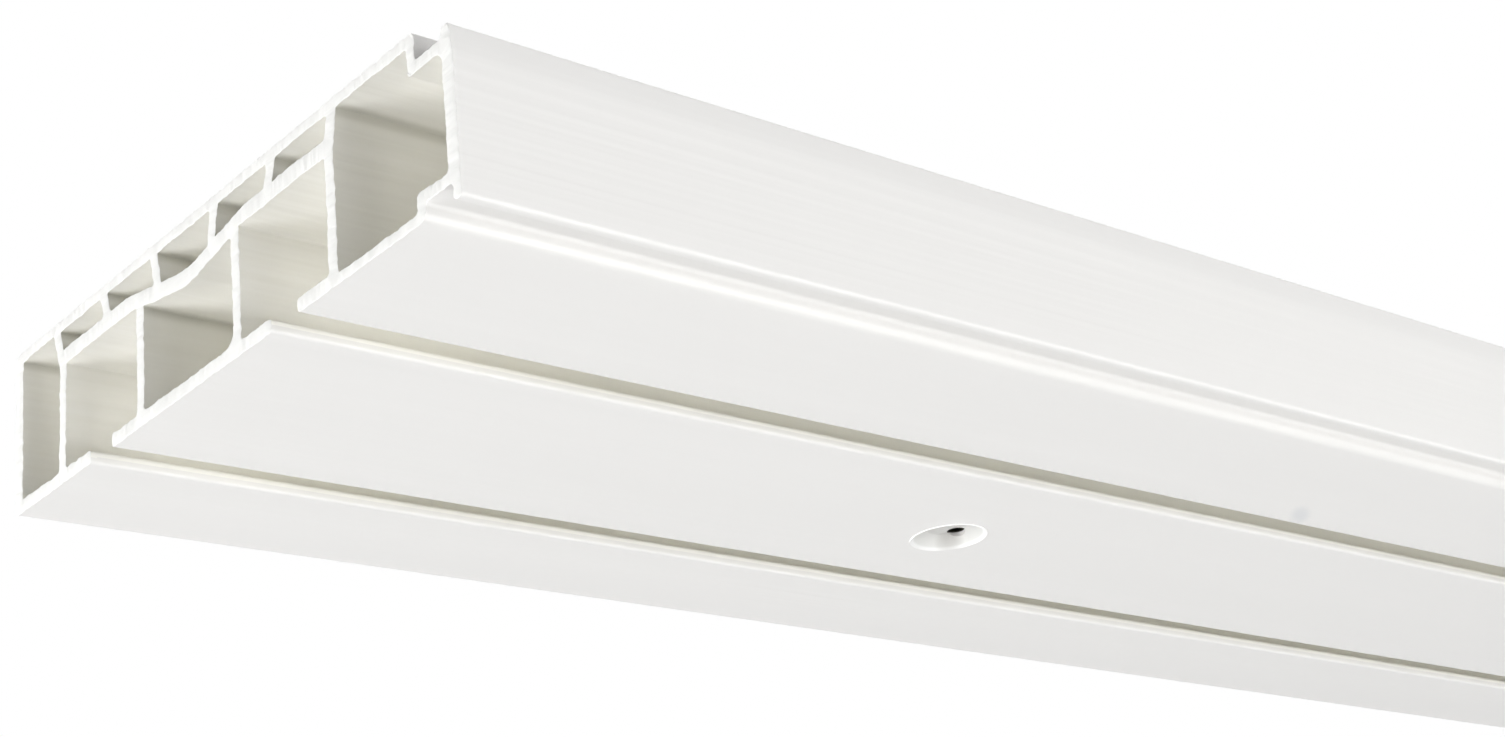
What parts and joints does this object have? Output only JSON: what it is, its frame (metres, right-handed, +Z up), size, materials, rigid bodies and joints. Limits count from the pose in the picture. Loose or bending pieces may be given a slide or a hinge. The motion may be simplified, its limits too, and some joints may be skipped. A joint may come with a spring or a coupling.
{
  "type": "double curtain track",
  "caption": "White hollow plastic ceiling track with twin slotted glider channels, countersunk screw holes and front grooves for a clip-on cover strip.",
  "frame": {"origin": "middle of the ceiling face", "axes": "+X along the track, +Z up to the ceiling, -Y the front, towards the room"},
  "size_m": [1.2, 0.08, 0.0174],
  "materials": {
    "white_pvc": "satin, extruded"
  },
  "bodies": {
    "root": {"track": "white_pvc"}
  },
  "joints": []
}
